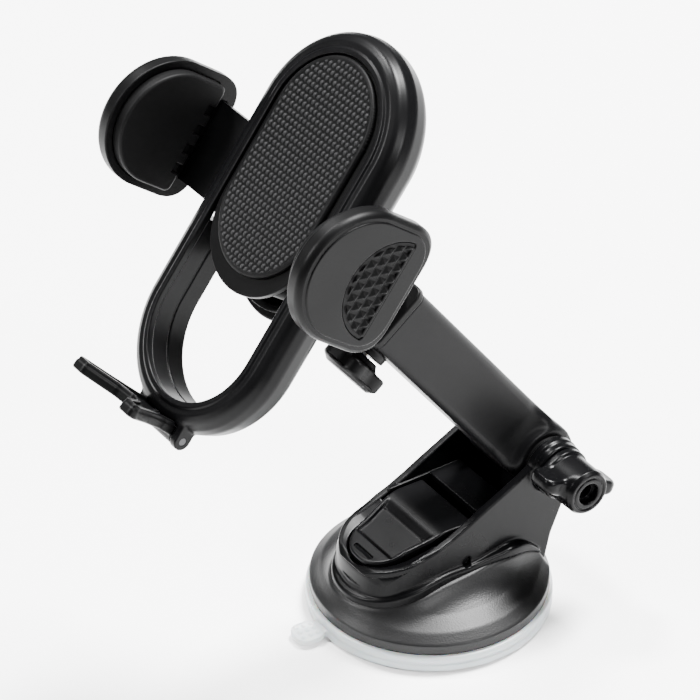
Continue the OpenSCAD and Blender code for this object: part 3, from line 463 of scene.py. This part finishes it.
# ---------------------------------------------------------------- pivot knob
def knob(x, y, z):
    y, z = y - PIVOT_Y, z - PIVOT_Z
    r = np.sqrt(y * y + z * z)
    hub = poly(r, x, outline([(-5, 19.4, 0), (7.8, 19.4, 0.5), (7.8, 21.4, 0.6), (7.0, 22.0, 0.6),
                              (6.9, 31.3, 0.5),
                              (6.2, 32.5, 0.4), (-5, 32.5, 0)]))
    t = math.radians(-23)
    a, b = y * math.cos(t) + z * math.sin(t), -y * math.sin(t) + z * math.cos(t)
    side = np.abs(a)
    thick = smooth_line(side, [(0, 3.6), (5, 3.5), (8.5, 2.6), (12, 2.1), (20, 1.9)])
    wing = both(both((np.abs(b) - thick) * 0.93, box2(a, x - 24.8, 13.8, 4.9, 3.4), 1.6), side - 13.8, 1.2)
    d = join(hub, wing, 2.0)
    d = cut(d, ext(disc(y, z, 3.3), x, 30.2, 40, 0), 0.6)
    d = cut(d, ext(disc(y, z, 2.46), x, 10, 40, 0), 0.1)
    ring = disc(r - 5.0, x - 32.5, 0.3)
    d = cut(d, ring, 0.2)
    return cut(d, ext(hexagon(y, z, 4.2), x, 10, 24, 0), 0.1)


# ---------------------------------------------------------------- arms
def bar(x, y, w, d, r):
    return box2(x, y, w / 2, d / 2, r)


def outer(x, y, z):
    half = smooth_line(z, [(-4, 12.1), (4.5, 12.1), (8, 11.5), (11, 9.8), (14, 8.8), (18, 8.5), (40, 8.5),
                           (90, 8.5)])
    tube = ext(box2(x, y, half, TUBE_D / 2, 3.0), z, 0, TUBE_LEN, 0.5)
    barrel = ext(disc(y, z, 9.8), x, -12.2, 12.2, 0.9)
    d = join(both(tube, disc(y, np.minimum(z - 4.0, 0.0), 9.9), 0.5), barrel, 2.0)
    boss = ext(disc(x, z - CLAMP_S, 5.6), y, -TUBE_D / 2 - 2.2, -TUBE_D / 2 + 2, 0.5)
    d = join(d, boss, 1.0)
    d = cut(d, both(bar(x, y, 11.6, 14.6, 1.7), 14 - z, 0.5), 0.3)
    d = cut(d, ext(disc(x, z - CLAMP_S, 2.06), y, -30, -3, 0), 0.1)
    d = cut(d, ext(hexagon(x, z - CLAMP_S, 3.8), y, -19, -TUBE_D / 2 + 0.5, 0), 0.1)
    return cut(d, ext(disc(y, z, 2.46), x, -40, 40, 0), 0.2)


def collar(x, y, z):
    d = ext(bar(x, y, TUBE_W + 0.9, TUBE_D + 0.9, 3.4), z, TUBE_LEN + 0.05, TUBE_LEN + 2.6, 0.6)
    return cut(d, bar(x, y, 11.6, 14.6, 1.7), 0.4)


def inner(x, y, z):
    d = ext(bar(x, y, 11, 14, 1.4), z, 34, 91, 0.6)
    d = cut(d, ext(box2(x, z - 62.3, 2.4, 23, 2.3), y, -12, -5.6, 0), 0.3)
    return cut(d, both(bar(np.abs(x) - 7.3, y, 4.0, 8.0, 0.6), np.abs(z - 62) - 25, 0.4), 0.3)


def clamp(x, y, z):
    h, w = -y - 13.0, z - CLAMP_S
    r, a = np.sqrt(x * x + w * w), np.arctan2(w, x)
    hub = poly(r, h, outline([(-5, 0, 0), (4.6, 0, 0.4), (6.0, 2.2, 0.8), (6.6, 6.4, 0.5), (-5, 6.6, 0)]))
    lobe = r - 8.0 - 1.35 * np.cos(4 * (a - math.radians(45)))
    body = both(lobe * 0.9, np.abs(h - 4.2) - 2.25, 1.1)
    cap = poly(r, h, outline([(-5, 6.0, 0), (8.6, 6.0, 0.5), (8.4, 6.6, 0.5), (7.2, 7.5, 0.8), (-5, 7.5, 0)]))
    d = join(join(hub, body, 0.8), cap, 0.5)
    return cut(d, ext(disc(x, w, 2.0), h, -9, 5.3, 0), 0.1)


def stud(x, y, z):
    r = np.sqrt(x * x + y * y)
    ball = np.sqrt(r * r + (z - REACH) ** 2) - 8.0
    post = poly(r, z, outline([(-5, 91.05, 0), (5.4, 91.05, 0.4), (4.8, 92.6, 0.8), (3.2, 93.6, 1.0),
                               (3.2, 99, 0), (-5, 99, 0)]))
    return any_of(join(ball, post, 1.2), ext(r - 2.5, z, 81.2, 93, 0))


# ---------------------------------------------------------------- ball joint
def nut(x, y, z):
    r, a = np.sqrt(x * x + y * y), np.arctan2(y, x)
    d = poly(r, z, outline([(-5, -6.6, 0), (12.8, -6.6, 1.0), (14.2, -4.2, 0.8), (14.2, 8.0, 0.8),
                            (-5, 8.0, 0)]))
    rib = (np.mod(a + math.pi / 12, math.pi / 6) - math.pi / 12) * r
    radius = np.sqrt((r - 13.7) ** 2 + rib ** 2) - 1.3
    d = join(d, both(radius, np.abs(z - 1.9) - 5.2, 0.5), 0.8)
    d = cut(d, both(r - 12.1, -1.62 - z, 0.2), 0.4)
    seat = both(np.sqrt(r * r + z * z) - 9.55, both(-4.9 - z, z + 0.9, 0), 0)
    d = cut(d, seat, 0.1)
    mouth = poly(r, z, [(-5, -4), (7.4, -4), (7.4, -5.2), (10, -7), (10.5, -9), (-5, -9)])
    return cut(d, mouth, 0.4)


# ---------------------------------------------------------------- cradle
def oval(x, u, s0, s1):
    """distance from the spine line of an upright oval"""
    v = u - np.clip(u, s0, s1)
    return np.sqrt(x * x + v * v)


RING = outline([(RING_IN, -1.9, 0.2), (RING_IN, 0, 0.4), (RING_IN + 1.5, 0, 0.4), (RING_IN + 2.1, -0.45, 0.4),
                (RING_IN + 3.6, -0.45, 1.5), (RING_IN + 5.6, -1.4, 3), (RING_R - 0.5, -3.7, 2.8),
                (RING_R, -6.6, 4),
                (RING_R - 0.9, -11.2, 5), (RING_R - 2.8, -13.8, 3), (RING_R - 4.2, -RING_D, 0.8),
                (RING_IN + 0.6, -RING_D, 0.3), (RING_IN + 0.6, -2.5, 0.2)])


def ring(x, u, n):
    rho = oval(x, u, -RING_S, RING_S)
    d = poly(rho, n, RING)
    d = cut(d, disc(rho - RING_IN - 0.55, n + 8.4, 0.28), 0.15)
    notch = any_of(disc(u - FOOT_U, n - FOOT_N, 2.7), box2(u - FOOT_U + 1.65, n - FOOT_N - 5, 4.35, 5, 0.3))
    d = cut(d, both(notch, np.abs(x) - 7.85, 0.2), 0.4)
    lug = any_of(disc(u - FOOT_U, n - FOOT_N, 2.6), box2(u - FOOT_U - 2.7, n - FOOT_N, 2.7, 2.6, 0.2))
    d = join(d, ext(lug, np.abs(x), 7.9, 10.5, 0.4), 0.8)
    ledge = ext(box2(np.abs(x) - 19.9, u - 29.5, 1.9, 5, 0.3), n, PLATE_BACK - 2.22, PLATE_BACK - 0.02, 0)
    d = any_of(d, ledge)
    end = np.where(x > 0, 18.3, 14.3)
    slot = any_of(disc(u - end, n + 6.7, 3.7), box2(u - (end - 7.7) / 2, n + 6.7, (end + 7.7) / 2, 3.7, 0.2))
    d = cut(d, both(slot, 16 - np.abs(x), 0), 0.6)
    return cut(d, ext(disc(u - FOOT_U, n - FOOT_N, 1.05), x, -30, 30, 0), 0.1)


def plate(x, u, n):
    rho = oval(x, u, 2.0, RING_S)
    d = ext(rho - RING_IN + 0.12, n, PLATE_BACK, PLATE_FRONT, 0.3)
    for px, pu in ((14, 38), (12.5, -10.6)):
        d = any_of(d, ext(disc(np.abs(x) - px, u - pu, 2.5), n, -14.4, PLATE_BACK + 0.2, 0.1))
    return d


def back(x, u, n):
    rho = oval(x, u, 0.5, RING_S)
    shell = ext(rho - 22.4, n, -17.2, -14.55, 0.9)
    rim = ext(rho - 20.2, n, -15, -12.3, 0.2)
    d = any_of(shell, rim)
    r = np.sqrt(x * x + (u - BALL_U) ** 2)
    socket = ext(r - 11.7, n, BALL_N - 1.5, -16, 0.4)
    flare = poly(r, n, [(-5, -22.7), (11.8, -22.7), (12.6, -16.7), (12.6, -16), (-5, -16)])
    d = join(d, any_of(socket, flare), 1.6)
    d = cut(d, ext(rho - 18, n, -14.52, -10, 0), 0.2)
    d = cut(d, np.sqrt(r * r + (n - BALL_N) ** 2) - 9.28, 0.1)
    half = math.sqrt(0.5)
    a = (x + u - BALL_U) * half
    b = (u - BALL_U - x) * half
    slit = both(both(any_of(np.abs(a), np.abs(b)) - 0.7, 4 - r, 0), np.abs(n - BALL_N - 1.5) - 4.5, 0)
    d = cut(d, slit, 0.1)
    d = cut(d, ext(disc(x, u - 25.5, 4.3), n, -30, -10, 0), 0.3)
    ring_u = disc(np.sqrt(x * x + (u - 25.5) ** 2) - 6.6, n + 17.3, 0.35)
    d = cut(d, ring_u, 0.2)
    for px, pu in ((14, 38), (12.5, -10.6)):
        d = cut(d, ext(disc(np.abs(x) - px, u - pu, 2.5), n, -30, -15.8, 0), 0.2)
        d = cut(d, ext(disc(np.abs(x) - px, u - pu, 2.8), n, -14.5, -8, 0), 0.0)
        d = cut(d, ext(disc(np.abs(x) - px, u - pu, 1.3), n, -30, -10, 0), 0)
    groove = disc(rho - 19.2, n + 17.3, 0.4)
    d = cut(d, groove, 0.2)
    return d


def weave_pad():
    """soft oval pad with staggered raised dots; also marks the dot-top faces for a painted highlight"""
    step = 0.2
    us, xs = np.arange(PAD_U0 - 19.6, PAD_U1 + 19.6, step), np.arange(-18.8, 18.81, step)
    U, X = np.meshgrid(us, xs, indexing="ij")
    pitch_x, pitch_u = 1.71, 1.85

    def height(x, u):
        inside = PAD_R + 0.8 - oval(x, u, PAD_U0 - 0.7, PAD_U1 + 0.7)
        row = np.round(u / pitch_u)
        cx = x - np.mod(row, 2) * pitch_x / 2
        dx = cx - np.round(cx / pitch_x) * pitch_x
        du = u - row * pitch_u
        dots = 0.42 * np.maximum(0, 1 - (dx / 0.66) ** 2 - (du / 0.74) ** 2) ** 0.6
        edge = np.clip(inside / 1.0, 0, 1)
        crown = PLATE_FRONT + 1.05 + 0.55 * np.sqrt(np.clip(1 - (1 - edge) ** 2, 0, 1))
        fade = np.clip((inside - 1.1) / 0.4, 0, 1)
        return crown + (dots - 0.25) * fade, inside, dots * fade

    z, inside, highlight_tips = height(X, U)
    keep = inside > -0.05
    count = len(xs)
    top = np.stack([X, U, z], -1).reshape(-1, 3)
    f = (keep[:-1, :-1] & keep[1:, :-1] & keep[:-1, 1:] & keep[1:, 1:])
    i, j = np.nonzero(f)
    a = i * count + j
    quads = np.stack([a, a + 1, a + count + 1, a + count], 1)
    used, back_index = np.unique(quads, return_inverse=True)
    pts, quads = top[used], back_index.reshape(-1, 4)
    base = pts.copy()
    base[:, 2] = PLATE_FRONT + 0.02
    n = len(pts)
    lower = quads[:, ::-1] + n
    edges = {}
    for q in quads:
        for k in range(4):
            e = (int(q[k]), int(q[(k + 1) % 4]))
            if (e[1], e[0]) in edges:
                del edges[(e[1], e[0])]
            else:
                edges[e] = True
    sides = np.array([[b, a, a + n, b + n] for a, b in edges])
    quads = np.concatenate([quads, lower, sides])
    p = np.concatenate([pts, base])
    m = CRADLE
    p = p @ m[:3, :3].T + m[:3, 3]
    # faces on the dot tops, which get the lighter material as a painted highlight
    raised = np.concatenate([highlight_tips.reshape(-1)[used], np.zeros(n)])[quads].mean(1) > 0.2
    return make_mesh("pad_woven", p, quads), raised.astype(np.int32)


# ---------------------------------------------------------------- jaws, right side
def dee(u, n, r, bottom, corner):
    """round front, straight sides and a flat back with round corners"""
    a = u - JAW_U
    top = np.sqrt(a * a + np.maximum(n - JAW_C, 0) ** 2) - r
    return both(top, bottom - n, corner)


def jaw(x, u, n, level=-10.1):
    t = x - SHELL_IN
    shape = dee(u, n, JAW_R, JAW_BACK, 9.0)
    d = ext(shape, t, 0, 5.5, 0.35)
    over = 2.7
    d = both(d, (np.sqrt(np.maximum(shape + over, 0) ** 2 + np.maximum(t - 5.5 + over, 0) ** 2) - over), 0.05)
    rim = np.abs(shape + 1.9) - 0.35
    d = cut(d, both(rim, 5.15 - t, 0), 0.4)
    d = cut(d, both(dee(u, n, JAW_R - 2.3, -2.6, 2.0), t - 0.8, 0), 0.25)
    grip = dee_grip(u, n, GRIP_R + 0.15)
    d = cut(d, both(grip, 4.5 - t, 0), 0.3)
    pocket = both(np.abs(u - JAW_U) - 12.25, both(np.abs(n - level - 1) - 1.05, t - 2.05, 0), 0)
    return cut(d, pocket, 0.2)


GRIP_R = 14.2


def dee_grip(u, n, r):
    a, b = u - JAW_U, n + 3.0
    return both(np.sqrt(a * a + b * b) - r, -b, 1.2)


def jaw_soft(x, u, n):
    t = x - JAW_X
    shape = dee(u, n, JAW_R - 2.45, -2.4, 2.0)
    d = ext(shape, t, 0.05, 4.2, 0.9)
    for i in range(-2, 2):
        notch = both(both(np.abs(u - JAW_U - 2.8 - 6 * i) - 1.5, n - 0.6, 0.4), t - 1.8, 0)
        d = cut(d, notch, 0.3)
    return d


def grip(x, u, n):
    t = x - SHELL_OUT
    d = both(dee_grip(u, n, GRIP_R), np.abs(t + 0.62) - 0.36, 0.15)
    step_u, step_n = 3.3, 2.9
    b = n + 3.0
    row = np.floor(b / step_n)
    v = b - (row + 0.5) * step_n
    cu = u - JAW_U - np.mod(row, 2) * step_u / 2
    w = cu - np.round(cu / step_u) * step_u
    spike = (t + 0.30) * 0.80 + 0.60 * np.maximum(np.abs(w) * 0.92, np.abs(v)) - 0.78
    spikes = both(both(spike, dee_grip(u, n, GRIP_R - 1.0), 0.15), -0.6 - t, 0)
    lip = both(both(np.abs(n + 2.35) - 0.5, np.abs(u - JAW_U) - GRIP_R + 1.0, 0.3), np.abs(t + 0.2) - 0.55,
               0.35)
    return any_of(d, spikes, lip)


# ---------------------------------------------------------------- folding foot
def foot(x, u, n):
    s = np.abs(x)
    shape = poly(s, n, outline([(-8, 0, 0), (7.6, 0, 1), (7.8, 7, 5), (10.6, 15.4, 8), (14.6, 24, 2.0),
                                (14.0, 26.2, 1.6),
                                (9.4, 26.2, 1.8), (3.8, 16.9, 2.5), (0, 15.2, 3), (-8, 15.2, 0)]))
    web = ext(shape, u, -0.5, 2.0, 0.6)
    edge = both(np.abs(shape + 1.0) - 0.7, 3.0 - n, 0.4)
    ribs = ext(edge, u, 0.5, 3.15, 0.45)
    hub = ext(disc(u, n, 2.3), x, -7.6, 7.6, 0.3)
    d = join(join(web, ribs, 0.5), hub, 0.8)
    return cut(d, ext(disc(u, n, 1.11), x, -20, 20, 0), 0.1)


# ---------------------------------------------------------------- build
def add(name, f, lo, hi, step, place, mat, body, slot, *nodes):
    obj = solid(name, f, lo, hi, step, place)
    return attach(obj, M[mat], body, nodes)


add("cup_soft", cup, (-36.5, -46, 0), (36.5, 36.5, 5.2), 0.32, WORLD, "cup", "base", "clear_tpu",
    "suction_cup")
add("dome_shell", dome, (-35.5, -35.5, 4.5), (35.5, 35.5, 21), 0.36, WORLD, "dome", "base", "textured_black",
    "base_dome")
add("housing_shell", housing, (-20, -31.5, 8), (20, 43, 53.5), 0.33, WORLD, "gloss", "base", "gloss_black",
    "base_housing")
add("lever_plate", lever, (-12.5, -26.5, 18), (12.5, 8, 32.8), 0.24, WORLD, "gloss", "lever", "gloss_black",
    "lock_lever")
add("wing_knob", knob, (19, 17, 34), (33, 47, 51), 0.24, WORLD, "gloss", "knob", "gloss_black", "pivot_knob")
add("arm_outer", outer, (-12.5, -13, -10.5), (12.5, 11, 81), 0.33, ARM, "arm", "arm", "gloss_black",
    "outer_arm")
add("arm_end_collar", collar, (-9.5, -11, 79.5), (9.5, 11, 83.5), 0.22, ARM, "jaw", "arm", "textured_black",
    "arm_collar")
add("arm_inner", inner, (-6, -7.5, 33), (6, 7.5, 92), 0.3, ARM, "arm", "extension", "textured_black",
    "inner_arm")
add("clamp_lobes", clamp, (-11, -21.0, CLAMP_S - 11), (11, -12.5, CLAMP_S + 11), 0.24, ARM, "jaw", "clamp",
    "gloss_black", "clamp_knob")
add("stud_ball", stud, (-8.5, -8.5, 80.5), (8.5, 8.5, 112.5), 0.3, ARM, "gloss", "extension", "gloss_black",
    "ball_stud")
add("nut_ribbed", nut, (-15.5, -15.5, -7), (15.5, 15.5, 8.5), 0.28, BALL, "jaw", "nut", "gloss_black",
    "ball_nut")
add("ring_shell", ring, (-28.5, -65, -15), (28.5, 59, 0.5), 0.34, CRADLE, "ring", "cradle", "gloss_black",
    "cradle_ring")
add("plate_shell", plate, (-21, -19, -14.6), (21, 51.5, -0.6), 0.34, CRADLE, "jaw", "cradle",
    "textured_black", "pad_plate")
add("back_shell", back, (-23, -23, BALL_N - 2), (23, 53.5, -12), 0.36, CRADLE, "jaw", "cradle",
    "textured_black", "cradle_back")
pad, raised = weave_pad()
attach(pad, M["pad"], "cradle", ("phone_pad",))
# the dot tops take the lighter rubber: a painted highlight on the weave
pad.data.materials.append(M["tip"])
pad.data.polygons.foreach_set("material_index", raised)
for side, place, body, level in (("right", CRADLE, "right_side", -10.1), ("left", MIRROR, "left_side", -7.8)):
    add(side + "_jaw_shell", lambda x, u, n, k=level: jaw(x, u, n, k), (43, -12.5, -11.5),
        (49.5, 26.8, 27.3), 0.26, place,
        "jaw", body, "gloss_black", side + "_jaw")
    add(side + "_jaw_soft", jaw_soft, (39.5, -10.5, -3), (45, 24.5, 25.5), 0.26, place, "soft", body,
        "rubber_black",
        side + "_jaw_pad")
    add(side + "_grip_spikes", grip, (47.5, -8, -4), (50.2, 22, 12), 0.17, place, "soft", body,
        "rubber_black",
        side + "_grip")
add("foot_web", foot, (-15.2, -2.6, -2.6), (15.2, 3.4, 27), 0.22, FOOT, "jaw", "foot", "gloss_black",
    "foot_fork")

FINISH = {
    "steel": ("stem_spring", "base_screws", "clamp_screw", "cradle_screws", "gear_post", "button_spring"),
    "dark": ("lever_pin", "pivot_bolt", "foot_pin"),
    "brass": ("knob_nut", "clamp_nut"),
    "nylon": ("ball_liner", "sync_gear"),
    "jaw": ("left_arm", "right_arm", "cup_stem", "release_button"),
    "soft": ("pivot_washers",),
}
for key, names in FINISH.items():
    for n in names:
        NODES[n].data.materials.clear()
        NODES[n].data.materials.append(M[key])

# ---------------------------------------------------------------- stage, light, camera
def plain(name, color, rough):
    m = bpy.data.materials.new(name)
    m.use_nodes = True
    b = m.node_tree.nodes["Principled BSDF"]
    b.inputs["Base Color"].default_value = (*color, 1)
    b.inputs["Roughness"].default_value = rough
    b.inputs["Specular IOR Level"].default_value = 0.1
    return m


floor_mesh = bpy.data.meshes.new("floor")
floor_mesh.from_pydata([(-6, -6, -0.0006), (6, -6, -0.0006), (6, 6, -0.0006), (-6, 6, -0.0006)], [],
                       [(0, 1, 2, 3)])
floor = bpy.data.objects.new("floor", floor_mesh)
floor.data.materials.append(plain("floor_white", (0.93, 0.93, 0.93), 0.9))
bpy.context.scene.collection.objects.link(floor)

world = bpy.data.worlds.new("studio")
bpy.context.scene.world = world
world.use_nodes = True
world.node_tree.nodes["Background"].inputs["Color"].default_value = (1, 1, 1, 1)
world.node_tree.nodes["Background"].inputs["Strength"].default_value = 0.10


def softbox(name, where, target, size, power):
    data = bpy.data.lights.new(name, "AREA")
    data.shape = "RECTANGLE"
    data.size, data.size_y = size
    data.energy = power
    o = bpy.data.objects.new(name, data)
    bpy.context.scene.collection.objects.link(o)
    o.location = where
    o.rotation_euler = (Vector(target) - Vector(where)).to_track_quat("-Z", "Y").to_euler()
    return o


softbox("top_box", (-0.15, 0.8, 2.0), (0, 0, 0.05), (0.62, 0.62), 300)
softbox("crown_box", (-0.97, -0.2, 1.85), (0, 0, 0.05), (0.3, 0.3), 75)
softbox("right_box", (1.1, 0.15, 0.75), (0, 0, 0.08), (0.25, 0.4), 18)
softbox("left_box", (-0.5, -1.2, 1.1), (0, 0, 0.1), (0.35, 0.4), 34)

az, el = math.radians(55.5), math.radians(34.6)
right = Vector((math.cos(az), math.sin(az), 0))
back_dir = Vector((math.sin(az) * math.cos(el), -math.cos(az) * math.cos(el), math.sin(el)))
up_dir = back_dir.cross(right)
cam_data = bpy.data.cameras.new("photo_camera")
cam_data.sensor_width = 36.0
cam_data.lens = 194.0
cam_data.clip_start, cam_data.clip_end = 0.05, 20
cam = bpy.data.objects.new("photo_camera", cam_data)
bpy.context.scene.collection.objects.link(cam)
rot = Matrix((right, up_dir, back_dir)).transposed().to_4x4()
cam.matrix_world = Matrix.Translation(Vector((0.7000, -0.5090, 0.6831))) @ rot
bpy.context.scene.camera = cam
